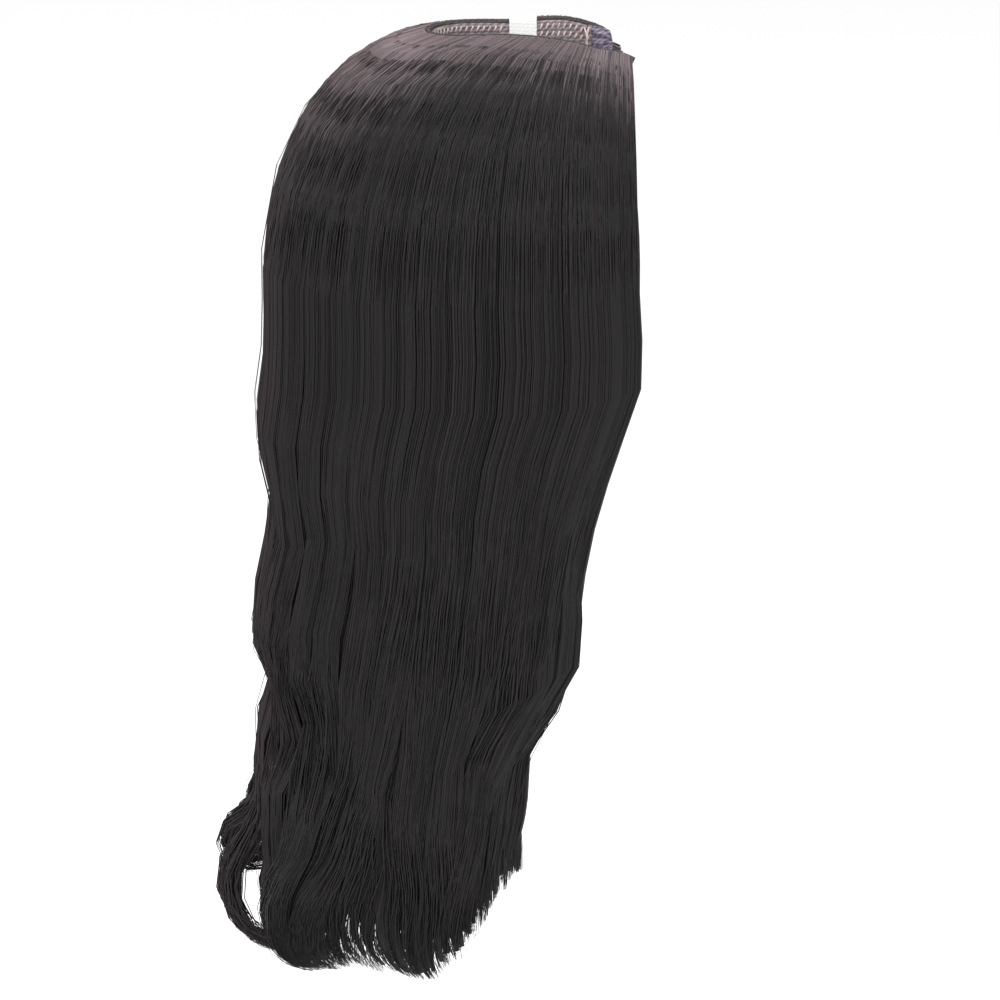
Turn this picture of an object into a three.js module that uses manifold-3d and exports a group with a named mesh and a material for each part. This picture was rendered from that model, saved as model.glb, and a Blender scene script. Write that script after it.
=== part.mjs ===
// Half wig with a U-shaped opening on top, for long dark hair that hangs past the shoulders.
// Millimetres, +Z up, the face towards -Y. The origin is where the crown of the head meets the inside of the
// cap, on the middle line just behind the opening.
import * as THREE from "three";
import { mergeVertices } from "three/addons/utils/BufferGeometryUtils.js";
import Module from "manifold-3d";

// Head form that the inside of the cap follows.
const headHalfWidth = 76;
const headBackReach = 80; // from the top of the head back
const headFrontReach = 121; // from the top of the head forward, had the cap gone that far
const headRise = 105; // from the widest level to the top of the head
const headFullness = 2.3; // exponent of the curve: 2 is an ellipse, more is squarer
const seatBehindTop = 34; // from the top of the head back to the origin
const neckReach = 150; // depth below the widest level at which the head form would close
const backCurve = 1.55; // length of half the back's curve along the widest level, as a share of headBackReach

// Opening in the top of the cap, a U with its mouth at the front.
const openingHalfWidth = 15;
const openingFrontY = -104;
const openingBackY = -14;

// Cap and the trim sewn to it.
const capWall = 1.5;
const capFrontY = -96.5; // front edge at the widest level
const earDrop = 20; // lower edge below the widest level, at the ears
const napeDrop = 66; // and at the nape
const napeRun = { from: 0.3, to: 0.85 }; // where the lower edge runs down, from a front edge to the back
const sewnGap = 0.3; // between pieces that are sewn together
const bindingWidth = 2.4;
const bindingBelow = 0.4; // how far the binding reaches inside the cap's inner face
const bindingAbove = 4.4; // and how far it stands above it
const leftRise = { height: 5.3, from: 48, to: 84 }; // how the left rim stands up further, by its way forward
const leftFall = { height: 7.3, from: 93, to: 100 }; // and drops again at its front end
const rightRise = { height: 2.4, from: 86, to: 102 }; // and the same for the right rim
const riseColumns = [0.951, -0.951]; // places added round the rim, where those rises bend most
const bandWidth = 9;
const bandThickness = 1.2;
const trackWidth = 3.4;
const trackThickness = 1;
const trackRows = 5;
const firstTrack = 9; // from the opening's rim along the cap
const trackPitch = 13;
const netHoleLong = 6; // gaps cut through the net where it shows, beside the opening
const netHoleShort = 4.5;
const netHolesInRow = 8;
const netHoleRows = 2;
const netRun = { from: 0.04, to: 0.7 }; // where those gaps are, from a front edge to the back

// Gathered ends of the net inside the two front corners.
const foldLength = 12; // along the opening
const foldDrop = 11; // down the side
const foldDepth = 4.5;
const foldRim = 0.25; // thickness at the edges of a fold, as a share of its depth
const foldInset = 0.015; // from the cap's two edges, as a share of the way to the back or down

// Blank label folded over the left rim.
const labelFrontY = -64;
const labelWidth = 12.6;
const labelDrop = 10;
const labelThickness = 0.8;

// Hair.
const hairClearance = 0.5; // between the cap and the underside of the hair
const rootThickness = 2;
const rootRun = 0.3; // share of the dome over which the roots leave a rim that stands up
const sideThickness = 14; // at the widest level
const backThickness = 17;
const thickenPower = 1.5; // how late the hair thickens on its way from the roots: 1 is evenly
const frontEdgeShare = 0.4; // of the thickness, at the two front edges
const frontEdgeRun = 0.16; // reach of that thinner edge, as a share of the way to the back
const backRun = { from: 0.4, to: 0.95 }; // where the side's thickness turns into the back's
const hairDrop = 340; // from the widest level to the hem
const locksPerHalf = 12;
const sideLocks = 7; // of those, the locks in each side panel
const ridgeShare = 0.16; // of the thickness, between the crown of a lock and its edge
const notchShare = 0.035; // of the drop, between neighbouring tips
const panelGap = 0.9; // between neighbouring panels
const seamTipWide = 0.9; // widest that a tip beside such a gap may be, as a share of the locks' spacing
const tailThickness = 6.5;
const tailOverlap = 26; // how far a tail reaches up into the panel it grows from
const tailDepth = 0.45; // where it leaves the panel, from the underside to the outside
const tailTaper = 0.65; // how much narrower and thinner its end is
const tailStraight = 0.6; // of the overlap, before it bends
const tailSides = 6;
const degreesAStep = 18; // of the turn, between the points of its arc
const sideSwing = 0.35; // how far back a side lock's tip swings for each step outwards

// The hanging hair, level by level: drop is a share of hairDrop, front and back are shares of the hair's
// front-to-back size at the widest level, width is a share of its half width and thick one of its thickness.
const levels = [
  { drop: 0.0, front: 0.0, back: 0.0, width: 1.0, thick: 1.0 },
  { drop: 0.12, front: -0.016, back: 0.003, width: 1.0, thick: 0.91 },
  { drop: 0.24, front: 0.069, back: 0.038, width: 1.01, thick: 0.83 },
  { drop: 0.36, front: 0.142, back: -0.01, width: 1.02, thick: 0.76 },
  { drop: 0.46, front: 0.157, back: 0.04, width: 1.02, thick: 0.71 },
  { drop: 0.56, front: 0.178, back: 0.068, width: 1.03, thick: 0.66 },
  { drop: 0.635, front: 0.308, back: -0.014, width: 1.03, thick: 0.63 },
  { drop: 0.71, front: 0.313, back: 0.072, width: 1.03, thick: 0.59 },
  { drop: 0.8, front: 0.326, back: 0.06, width: 1.02, thick: 0.54 },
  { drop: 0.9, front: 0.465, back: 0.055, width: 1.0, thick: 0.47 },
  { drop: 1.0, front: 0.64, back: 0.04, width: 0.96, thick: 0.38 },
];

// The locks' tips, from the front edge to the middle of the back: hem is the panel's end there as a share of
// hairDrop, bow the angle by which the tip first swings out, and turn the angle by which it then turns under,
// each on an arc of the radius beside it. Wide is the tip's width as a share of the spacing of the locks.
const tips = [
  { hem: 0.81, bow: 4, bowRadius: 60, turn: 14, turnRadius: 60, wide: 1.1 },
  { hem: 0.875, bow: 6, bowRadius: 60, turn: 20, turnRadius: 55, wide: 1.2 },
  { hem: 0.888, bow: 10, bowRadius: 55, turn: 26, turnRadius: 50, wide: 1.2 },
  { hem: 0.885, bow: 12, bowRadius: 50, turn: 34, turnRadius: 45, wide: 1.2 },
  { hem: 0.835, bow: 16, bowRadius: 45, turn: 44, turnRadius: 42, wide: 1.2 },
  { hem: 0.822, bow: 20, bowRadius: 40, turn: 56, turnRadius: 40, wide: 1.2 },
  { hem: 0.816, bow: 26, bowRadius: 34, turn: 66, turnRadius: 36, wide: 1.2 },
  { hem: 0.812, bow: 34, bowRadius: 28, turn: 76, turnRadius: 34, wide: 1.2 },
  { hem: 0.824, bow: 42, bowRadius: 20, turn: 96, turnRadius: 32, wide: 1.3 },
  { hem: 0.88, bow: 50, bowRadius: 8, turn: 100, turnRadius: 25, wide: 1.3 },
  { hem: 0.846, bow: 50, bowRadius: 8, turn: 100, turnRadius: 33, wide: 1.3 },
  { hem: 0.862, bow: 50, bowRadius: 8, turn: 100, turnRadius: 33, wide: 1.2 },
];

// At the back, the locks left of the middle end higher than their twins on the right and curl tighter.
const leftTips = [
  ...tips.slice(0, 9),
  { hem: 0.8, bow: 46, bowRadius: 14, turn: 100, turnRadius: 16, wide: 1.3 },
  { hem: 0.834, bow: 58, bowRadius: 13, turn: 112, turnRadius: 16, wide: 1.3 },
  { hem: 0.818, bow: 58, bowRadius: 13, turn: 112, turnRadius: 16, wide: 1.2 },
];

// Edges shorter than this are closed up.
const finest = 0.03;

const wasm = await Module();
wasm.setup();

const mix = THREE.MathUtils.lerp;
const ease = (t, from, to) => THREE.MathUtils.smoothstep(t, from, to);

const topY = -seatBehindTop;
// The origin lies on the head form, which sets the height of the widest level.
const widestZ = -headRise * (1 - (seatBehindTop / headBackReach) ** headFullness) ** (1 / headFullness);
const capRimHalfWidth = openingHalfWidth + bindingWidth + sewnGap;
const hairInside = capWall + hairClearance;

// Places round the cap run from h = -1 at the right front edge, through 0 at the middle of the back, to 1 at
// the left front edge. near(h) is 0 at a front edge and 1 at the back.
const near = (h) => 1 - Math.abs(h);
const sideOf = (h) => (h < 0 ? -1 : 1);

// Height of the head form, grown by off, over a point of the plan.
function domeZ(x, y, off) {
  const reach = (y > topY ? headBackReach : headFrontReach) + off;
  const across = Math.abs(x / (headHalfWidth + off)) ** headFullness;
  const along = Math.abs((y - topY) / reach) ** headFullness;
  return widestZ + (headRise + off) * Math.max(0, 1 - across - along) ** (1 / headFullness);
}

// How much further the rim of the given side stands up, at a plan place y.
function rimRise(side, y) {
  const part = (rise) => rise.height * ease(-y, rise.from, rise.to);
  return side < 0 ? part(rightRise) : part(leftRise) - part(leftFall);
}

// Plan point on a U of the given half width, set by the same share of its length on every such U.
function rimPlan(h, halfWidth) {
  const bendY = openingBackY - openingHalfWidth;
  const straight = bendY - openingFrontY;
  const bend = (capRimHalfWidth * Math.PI) / 2;
  const run = near(h) * (straight + bend);
  if (run <= straight) return [sideOf(h) * halfWidth, openingFrontY + run];
  const angle = (run - straight) / capRimHalfWidth;
  return [sideOf(h) * halfWidth * Math.cos(angle), bendY + halfWidth * Math.sin(angle)];
}

// Plan point on the widest level of the head form grown by off.
function widestPlan(h, off) {
  const power = 2 / headFullness;
  const frontAngle = Math.asin(((topY - capFrontY) / headFrontReach) ** (1 / power));
  const frontShare = (topY - capFrontY) / (topY - capFrontY + backCurve * headBackReach);
  const v = near(h);
  const x = (angle) => sideOf(h) * (headHalfWidth + off) * Math.cos(angle) ** power;
  if (v < frontShare) {
    const angle = frontAngle * (1 - v / frontShare);
    return [x(angle), topY - (headFrontReach + off) * Math.sin(angle) ** power];
  }
  const angle = (Math.PI / 2) * Math.min(1, (v - frontShare) / (1 - frontShare));
  const cosine = Math.max(0, Math.cos(angle));
  const y = topY + (headBackReach + off) * Math.sin(angle) ** power;
  return [sideOf(h) * (headHalfWidth + off) * cosine ** power, y];
}

// Point of the cap grown by off: u is 0 on the opening's rim, 1 on the widest level and more below it.
function capPoint(h, u, off) {
  const wide = widestPlan(h, off);
  if (u <= 1) {
    const rim = rimPlan(h, capRimHalfWidth);
    const out = Math.sin((u * Math.PI) / 2);
    const x = mix(rim[0], wide[0], out);
    const y = mix(rim[1], wide[1], out);
    return new THREE.Vector3(x, y, domeZ(x, y, off));
  }
  const depth = (u - 1) * headRise;
  const narrow = Math.sqrt(1 - (depth / neckReach) ** 2);
  return new THREE.Vector3(wide[0] * narrow, topY + (wide[1] - topY) * narrow, widestZ - depth);
}

// The u at which the cap ends, lower at the nape than at the ears.
const capEnd = (h) => 1 + mix(earDrop, napeDrop, ease(near(h), napeRun.from, napeRun.to)) / headRise;

// The u that lies a given way down the cap from the opening's rim, by stepping along its inner face.
function uAfter(h, way) {
  const step = 0.01;
  let walked = 0;
  let here = capPoint(h, 0, 0);
  for (let u = step; u < capEnd(h); u += step) {
    const next = capPoint(h, u, 0);
    const stride = next.distanceTo(here);
    if (walked + stride >= way) return u - step * (1 - (way - walked) / stride);
    walked += stride;
    here = next;
  }
  return capEnd(h);
}

// Closed mesh between two faces, each a function of (a, b) for the numbers in as and bs.
function slab(as, bs, lower, upper) {
  const points = [];
  const at = new Map();
  for (const face of [lower, upper]) {
    for (let i = 0; i < as.length; i++) {
      for (let j = 0; j < bs.length; j++) {
        at.set(`${face === upper ? 1 : 0},${i},${j}`, points.length);
        points.push(face(as[i], bs[j], i, j));
      }
    }
  }
  const index = [];
  const quad = (a, b, c, d) => index.push(a, b, c, a, c, d);
  const id = (face, i, j) => at.get(`${face},${i},${j}`);
  const lastI = as.length - 1;
  const lastJ = bs.length - 1;
  for (let i = 0; i < lastI; i++) {
    for (let j = 0; j < lastJ; j++) {
      quad(id(1, i, j), id(1, i, j + 1), id(1, i + 1, j + 1), id(1, i + 1, j));
      quad(id(0, i, j), id(0, i + 1, j), id(0, i + 1, j + 1), id(0, i, j + 1));
    }
    quad(id(0, i, 0), id(1, i, 0), id(1, i + 1, 0), id(0, i + 1, 0));
    quad(id(0, i, lastJ), id(0, i + 1, lastJ), id(1, i + 1, lastJ), id(1, i, lastJ));
  }
  for (let j = 0; j < lastJ; j++) {
    quad(id(0, 0, j), id(0, 0, j + 1), id(1, 0, j + 1), id(1, 0, j));
    quad(id(0, lastI, j), id(1, lastI, j), id(1, lastI, j + 1), id(0, lastI, j + 1));
  }
  return geometryFrom(solidOf(geometryOf(points, index)));
}

function geometryOf(points, index) {
  const geometry = new THREE.BufferGeometry().setFromPoints(points);
  geometry.setIndex(index);
  return geometry;
}

// Solid of a closed geometry, turned the right way out.
function solidOf(geometry) {
  const bare = new THREE.BufferGeometry();
  bare.setAttribute("position", geometry.getAttribute("position"));
  bare.setIndex(geometry.getIndex());
  const merged = mergeVertices(bare, 1e-4);
  const build = (triVerts) =>
    new wasm.Manifold(
      new wasm.Mesh({ numProp: 3, vertProperties: merged.attributes.position.array, triVerts }),
    );
  const index = new Uint32Array(merged.index.array);
  const made = build(index);
  if (made.volume() > 0) return made;
  for (let i = 0; i < index.length; i += 3) [index[i], index[i + 1]] = [index[i + 1], index[i]];
  return build(index);
}

// Geometry of a solid, without the slivers that cutting and joining leave.
function geometryFrom(solid) {
  const mesh = solid.simplify(finest).getMesh();
  const geometry = new THREE.BufferGeometry();
  geometry.setAttribute("position", new THREE.BufferAttribute(mesh.vertProperties, 3));
  geometry.setIndex(new THREE.BufferAttribute(mesh.triVerts, 1));
  return geometry;
}

const steps = (from, to, count) => Array.from({ length: count + 1 }, (_, i) => mix(from, to, i / count));

// Columns round the cap, and rows over the dome that the hair shares, so that their faces run side by side.
const capColumns = steps(-1, 1, 2 * locksPerHalf);
const domeRows = steps(0, 1, 6);

// The u at which the elastic inside the lower edge begins, and the u of each of the cap's rows.
const bandTop = (h) => capEnd(h) - bandWidth / headRise;
const capRows = (h) => [...domeRows, mix(1, bandTop(h), 0.5), bandTop(h), capEnd(h)];

// Point on the flat facets of the cap grown by off, where capPoint is on the smooth curve.
function capFacet(h, u, off) {
  const place = (h + 1) * locksPerHalf;
  const column = Math.min(2 * locksPerHalf - 1, Math.floor(place));
  const onColumn = (at) => {
    const rows = capRows(at);
    const above = rows.findIndex((row) => row >= u);
    const row = above < 0 ? rows.length - 1 : Math.max(1, above);
    const share = (u - rows[row - 1]) / (rows[row] - rows[row - 1]);
    return capPoint(at, rows[row - 1], off).lerp(capPoint(at, rows[row], off), share);
  };
  return onColumn(capColumns[column]).lerp(onColumn(capColumns[column + 1]), place - column);
}

function capNet() {
  const rows = capRows(0).map((_, j) => j);
  const face = (off) => (h, row) => capPoint(h, capRows(h)[row], off);
  let solid = solidOf(slab(capColumns, rows, face(0), face(capWall)));
  for (const side of [-1, 1]) {
    for (let row = 0; row < netHoleRows; row++) {
      for (let k = 0; k < netHolesInRow; k++) {
        solid = solid.subtract(netHole(side, row, (k + 1) / (netHolesInRow + 1)));
      }
    }
  }
  return geometryFrom(solid);
}

// Prism through the cap for one gap in the net, between two rows of stitching.
function netHole(side, row, along) {
  const h = side * (1 - mix(netRun.from, netRun.to, along));
  const middle = firstTrack + (row + 0.5) * trackPitch + trackWidth / 2;
  const u = uAfter(h, middle);
  const centre = capFacet(h, u, capWall / 2);
  const down = capPoint(h, u + 0.02, 0).sub(capPoint(h, u, 0)).normalize();
  const round = capPoint(h + 0.01, u, 0).sub(capPoint(h, u, 0)).normalize();
  const out = new THREE.Vector3().crossVectors(down, round).normalize();
  const prism = new THREE.BoxGeometry(netHoleShort, netHoleLong, 4 * capWall);
  const across = new THREE.Vector3().crossVectors(out, down);
  prism.applyMatrix4(new THREE.Matrix4().makeBasis(across, down, out).setPosition(centre));
  return solidOf(prism);
}

// Ribbon round the rim of the opening, from one front corner to the other.
function openingBinding() {
  const face = (off, risen) => (h, b) => {
    const [x, y] = rimPlan(h, openingHalfWidth + b * bindingWidth);
    const [edgeX, edgeY] = rimPlan(h, capRimHalfWidth);
    return new THREE.Vector3(x, y, domeZ(edgeX, edgeY, 0) + off + risen * rimRise(sideOf(h), edgeY));
  };
  const columns = [...capColumns, ...riseColumns].sort((a, b) => a - b);
  return slab(columns, [0, 1], face(-bindingBelow, 0), face(bindingAbove, 1));
}

// Elastic inside the lower edge, from ear to ear round the nape.
function napeBand() {
  const face = (off) => (h, b) => capFacet(h, mix(bandTop(h), capEnd(h), b), off);
  return slab(capColumns, [0, 1], face(-sewnGap), face(-sewnGap - bandThickness));
}

// Elastic inside one front edge, from the gathered corner down to the nape band.
function frontBand(side) {
  const first = foldShare(side) + 2 * sewnGap / headRise;
  const last = bandTop(side) - sewnGap / headRise;
  const rows = [first, ...capRows(side).filter((u) => u > first && u < last), last];
  const face = (off) => (a, u) => {
    const edge = capFacet(side, u, off);
    const inward = capFacet(side * (1 - 1 / locksPerHalf), u, off);
    return edge.lerp(inward, (a * bandWidth) / Math.max(bandWidth, edge.distanceTo(inward)));
  };
  return slab([0, 1], rows, face(-sewnGap), face(-sewnGap - bandThickness));
}

// One row of stitching inside the cap, where a weft of hair is sewn on. It stops short of the elastic.
function weftTrack(row) {
  const way = firstTrack + row * trackPitch;
  const columns = capColumns.filter((h) => Math.abs(h) < 1 - 1.5 / locksPerHalf);
  const face = (off) => (h, b) => capFacet(h, uAfter(h, way) + (b * trackWidth) / headRise, off);
  return slab(columns, [0, 1], face(-sewnGap), face(-sewnGap - trackThickness));
}

// The share of the way down the dome that a gathered corner takes.
function foldShare(side) {
  return uAfter(side, foldDrop);
}

// Gathered net inside a front corner, thickest in its middle.
function cornerFold(side) {
  const parts = 5;
  const shares = steps(0, 1, parts);
  const longest = foldLength / Math.abs(openingFrontY - openingBackY);
  const deepest = foldShare(side);
  const bulge = (t) => Math.sin(Math.PI * mix(0.07, 0.93, t));
  const at = (a, b, off) => {
    return capFacet(side * (1 - mix(foldInset, longest, a)), mix(foldInset, deepest, b), off);
  };
  const outer = (a, b) => at(a, b, -sewnGap);
  const inner = (a, b) => at(a, b, -sewnGap - foldDepth * mix(foldRim, 1, bulge(a) * bulge(b)));
  return slab(shares, shares, outer, inner);
}

// Strip folded over the binding of the left rim, its tail hanging inside, with nothing on it.
function blankLabel() {
  const near = openingHalfWidth - sewnGap;
  const far = openingHalfWidth + bindingWidth;
  const top = bindingAbove + sewnGap;
  const under = [
    [near, -labelDrop, 0],
    [near, top, 1],
    [far, top, 1],
  ];
  const over = [
    [near - labelThickness, -labelDrop, 0],
    [near - labelThickness, top + labelThickness, 1],
    [far, top + labelThickness, 1],
  ];
  const face = (line) => (y, k) => {
    const [x, up, risen] = line[k];
    return new THREE.Vector3(x, y, domeZ(capRimHalfWidth, y, 0) + up + risen * rimRise(1, y));
  };
  return slab(steps(labelFrontY, labelFrontY + labelWidth, 3), [0, 1, 2], face(under), face(over));
}

const fullThickness = (h) => {
  const edge = mix(frontEdgeShare, 1, ease(near(h), 0, frontEdgeRun));
  return edge * mix(sideThickness, backThickness, ease(near(h), backRun.from, backRun.to));
};

// Value of a column of the levels table at a share of the drop.
function levelValue(column, drop) {
  const next = levels.findIndex((row) => row.drop >= drop);
  if (next < 0) return levels.at(-1)[column];
  if (next === 0) return levels[0][column];
  const [a, b] = [levels[next - 1], levels[next]];
  return mix(a[column], b[column], (drop - a.drop) / (b.drop - a.drop));
}

// 1 on the crown of a lock and 0 between two locks.
const crown = (h) => Math.sin(Math.PI * locksPerHalf * near(h)) ** 2;

const hairFrontY = widestPlan(1, hairInside + fullThickness(1))[1];
const hairBackY = widestPlan(0, hairInside + fullThickness(0))[1];
const hairLength = hairBackY - hairFrontY;

// Point in the hair: u is 0 at the roots, 1 on the widest level and 2 at hairDrop below it; w is 0 on the
// underside and 1 on the outside. The ridges of the locks rise over the first half of the dome, and the roots
// go up with a rim that stands up.
function hairPoint(h, u, w) {
  const ridge = 1 - ridgeShare * (1 - crown(h)) * Math.min(1, u * 2);
  if (u <= 1) {
    const thick = mix(rootThickness, fullThickness(h), u ** thickenPower) * ridge;
    const risen = Math.max(0, rimRise(sideOf(h), rimPlan(h, capRimHalfWidth)[1]));
    return capPoint(h, u, hairInside + w * (thick + risen * ease(rootRun - u, 0, rootRun)));
  }
  const drop = u - 1;
  const outer = widestPlan(h, hairInside + fullThickness(h) * ridge);
  const inner = widestPlan(h, hairInside);
  const rear = (outer[1] - hairFrontY) / hairLength;
  const shift = hairLength * mix(levelValue("front", drop), levelValue("back", drop), rear);
  const x = outer[0] * levelValue("width", drop);
  const y = outer[1] + shift;
  const inward = levelValue("thick", drop) * (1 - w);
  return new THREE.Vector3(
    x + (inner[0] - outer[0]) * inward,
    y + (inner[1] - outer[1]) * inward,
    widestZ - drop * hairDrop,
  );
}

const tipsOf = (h) => (h > 0 ? leftTips : tips);
const tipAt = (h) => tipsOf(h)[Math.min(locksPerHalf - 1, Math.floor(near(h) * locksPerHalf))];

// The u at which the panel ends between and on the locks.
function hemAt(h) {
  const place = near(h) * locksPerHalf - 0.5;
  const low = Math.max(0, Math.floor(place));
  const high = Math.min(locksPerHalf - 1, low + 1);
  const hem = mix(tipsOf(h)[low].hem, tipsOf(h)[high].hem, THREE.MathUtils.clamp(place - low, 0, 1));
  return 1 + hem - notchShare * (1 - crown(h));
}

// Places down the middle of a lock's tip: how far out and down each is, and the angle of the lock there. It
// hangs straight first, swings out on one arc and turns under on another.
function tipPlaces(tip) {
  const bow = THREE.MathUtils.degToRad(tip.bow);
  const turn = THREE.MathUtils.degToRad(tip.turn);
  const places = [{ out: 0, down: 0, angle: 0 }];
  for (const angle of [bow / 2, bow]) {
    places.push({
      out: tip.bowRadius * (1 - Math.cos(angle)),
      down: tailStraight * tailOverlap + tip.bowRadius * Math.sin(angle),
      angle,
    });
  }
  const bend = places.at(-1);
  const turnSteps = 2 + Math.round(tip.turn / degreesAStep);
  for (let k = 1; k <= turnSteps; k++) {
    const angle = bow - ((bow + turn) * k) / turnSteps;
    places.push({
      out: bend.out + tip.turnRadius * (Math.cos(angle) - Math.cos(bow)),
      down: bend.down + tip.turnRadius * (Math.sin(bow) - Math.sin(angle)),
      angle,
    });
  }
  return places;
}

// Tip of one lock, a flattened tube that narrows along tipPlaces.
function lockTip(h, atSeam) {
  const tip = tipAt(h);
  const wide = atSeam ? Math.min(tip.wide, seamTipWide) : tip.wide;
  const half = 0.5 / locksPerHalf;
  const start = 1 + tip.hem - tailOverlap / hairDrop;
  const base = hairPoint(h, start, tailDepth);
  const run = hairPoint(h, 1 + tip.hem, tailDepth).sub(base).normalize();
  const across = hairPoint(h + half, start, tailDepth).sub(hairPoint(h - half, start, tailDepth));
  const width = wide * across.length();
  across.normalize();
  const out = new THREE.Vector3(sideOf(h) * (1 - near(h)), mix(sideSwing, 1, near(h)), 0);
  out.addScaledVector(run, -out.dot(run)).normalize();
  const places = tipPlaces(tip);
  const points = [];
  places.forEach((place, k) => {
    const taper = 1 - tailTaper * (k / (places.length - 1)) ** 2;
    const centre = base.clone().addScaledVector(out, place.out).addScaledVector(run, place.down);
    const normal = out.clone().multiplyScalar(Math.cos(place.angle));
    normal.addScaledVector(run, -Math.sin(place.angle));
    for (let side = 0; side < tailSides; side++) {
      const angle = (2 * Math.PI * side) / tailSides;
      const point = centre.clone().addScaledVector(across, (Math.cos(angle) * width * taper) / 2);
      points.push(point.addScaledVector(normal, (Math.sin(angle) * tailThickness * taper) / 2));
    }
  });
  const index = [];
  for (let k = 0; k + 1 < places.length; k++) {
    for (let side = 0; side < tailSides; side++) {
      const a = k * tailSides + side;
      const b = k * tailSides + ((side + 1) % tailSides);
      index.push(a, b, b + tailSides, a, b + tailSides, a + tailSides);
    }
  }
  const end = (places.length - 1) * tailSides;
  for (let side = 1; side + 1 < tailSides; side++) {
    index.push(0, side + 1, side, end, end + side, end + side + 1);
  }
  return geometryOf(points, index);
}

// Solid of one panel of hair between two places round the cap, with its locks' tips fused to it.
function hairPanel(from, to) {
  const locks = Math.round((to - from) * locksPerHalf);
  const columns = steps(from, to, 2 * locks);
  const trim = panelGap / (2 * (hairLength + headHalfWidth)); // half the girth is about that long
  if (from > -1) columns[0] += trim;
  if (to < 1) columns[columns.length - 1] -= trim;
  const hang = levels.slice(1, -1).map((row) => row.drop / levels.at(-1).drop);
  const rows = [...domeRows, ...hang.map((t) => 1 + t), 2];
  const face = (w) => (h, u) => hairPoint(h, u <= 1 ? u : 1 + (u - 1) * (hemAt(h) - 1), w);
  let solid = solidOf(slab(columns, rows, face(0), face(1)));
  for (let k = 0; k < locks; k++) {
    const atSeam = (k === 0 && from > -1) || (k === locks - 1 && to < 1);
    solid = solid.add(solidOf(lockTip(from + (k + 0.5) / locksPerHalf, atSeam)));
  }
  return solid;
}

const finishes = {
  hair: new THREE.MeshStandardMaterial({ color: 0x241e1f, roughness: 0.45, metalness: 0 }),
  net: new THREE.MeshStandardMaterial({ color: 0x2a2627, roughness: 0.85, metalness: 0 }),
  binding: new THREE.MeshStandardMaterial({ color: 0x1c191a, roughness: 0.7, metalness: 0 }),
  elastic: new THREE.MeshStandardMaterial({ color: 0x232021, roughness: 0.8, metalness: 0 }),
  stitching: new THREE.MeshStandardMaterial({ color: 0x6f6260, roughness: 0.7, metalness: 0 }),
  fold: new THREE.MeshStandardMaterial({ color: 0x5f5566, roughness: 0.85, metalness: 0 }),
  satin: new THREE.MeshStandardMaterial({ color: 0xf2efee, roughness: 0.5, metalness: 0 }),
};

const wig = new THREE.Group();

function place(name, geometry, finish) {
  const mesh = new THREE.Mesh(geometry, finishes[finish]);
  mesh.name = name;
  wig.add(mesh);
}

place("cap_net", capNet(), "net");
place("opening_binding", openingBinding(), "binding");
place("nape_band", napeBand(), "elastic");
place("front_band_right", frontBand(-1), "elastic");
place("front_band_left", frontBand(1), "elastic");
for (let row = 0; row < trackRows; row++) place(`weft_track_${row + 1}`, weftTrack(row), "stitching");
place("corner_fold_right", cornerFold(-1), "fold");
place("corner_fold_left", cornerFold(1), "fold");
place("blank_label", blankLabel(), "satin");
const sideEnd = 1 - sideLocks / locksPerHalf;
place("hair_side_right", geometryFrom(hairPanel(-1, -sideEnd)), "hair");
place("hair_side_left", geometryFrom(hairPanel(sideEnd, 1)), "hair");
place("hair_back", geometryFrom(hairPanel(-sideEnd, sideEnd)), "hair");

export default wig;
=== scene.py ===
# %% [markdown]
# A half wig is a net cap with hair sewn to it, open on top, so that the wearer's own hair comes out and hides
# the rim. Here it is seen from its right side and a little above, as it is worn, with its long dark hair
# turned under at the ends. The frame holds the plain solids at their real size. This file gives them hair,
# net, ribbon and thread, all of it worked out with numpy in millimetres and turned into metres at the end.

import bpy
import numpy as np
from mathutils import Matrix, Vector


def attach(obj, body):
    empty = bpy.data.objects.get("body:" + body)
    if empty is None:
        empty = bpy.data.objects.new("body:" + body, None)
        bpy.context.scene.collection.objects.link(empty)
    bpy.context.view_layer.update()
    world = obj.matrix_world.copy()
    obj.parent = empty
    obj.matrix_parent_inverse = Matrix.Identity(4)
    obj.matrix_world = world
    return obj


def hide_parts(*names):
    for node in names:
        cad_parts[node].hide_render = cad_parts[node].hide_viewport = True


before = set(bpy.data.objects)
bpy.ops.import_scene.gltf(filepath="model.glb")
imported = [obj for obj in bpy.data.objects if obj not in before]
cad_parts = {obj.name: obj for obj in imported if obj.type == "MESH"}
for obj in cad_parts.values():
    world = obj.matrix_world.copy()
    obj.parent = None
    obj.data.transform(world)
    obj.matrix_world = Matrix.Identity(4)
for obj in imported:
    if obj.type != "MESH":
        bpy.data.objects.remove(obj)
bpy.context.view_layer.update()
MM = 0.001
chance = np.random.default_rng(20)

# %% [markdown]
# The cap follows a head. From above and from the side a head is close to a superellipse, a curve that is a
# little squarer than an ellipse, so one formula gives the height of the cap over every point of the plan.
# Every piece of the wig is laid on this one form, at its own distance from it.

# %% The head form
HEAD_HALF_WIDTH = 76.0
HEAD_BACK_REACH = 80.0
HEAD_FRONT_REACH = 121.0
HEAD_RISE = 105.0
FULLNESS = 2.3
SEAT_BEHIND_TOP = 34.0
NECK_REACH = 150.0
BACK_CURVE = 1.55
TOP_Y = -SEAT_BEHIND_TOP
WIDEST_Z = -HEAD_RISE * (1 - (SEAT_BEHIND_TOP / HEAD_BACK_REACH) ** FULLNESS) ** (1 / FULLNESS)


def smooth(t, low, high):
    """0 below low, 1 above high, and between them three times the share squared less twice its cube."""
    share = np.clip((t - low) / (high - low), 0, 1)
    return share * share * (3 - 2 * share)


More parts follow.
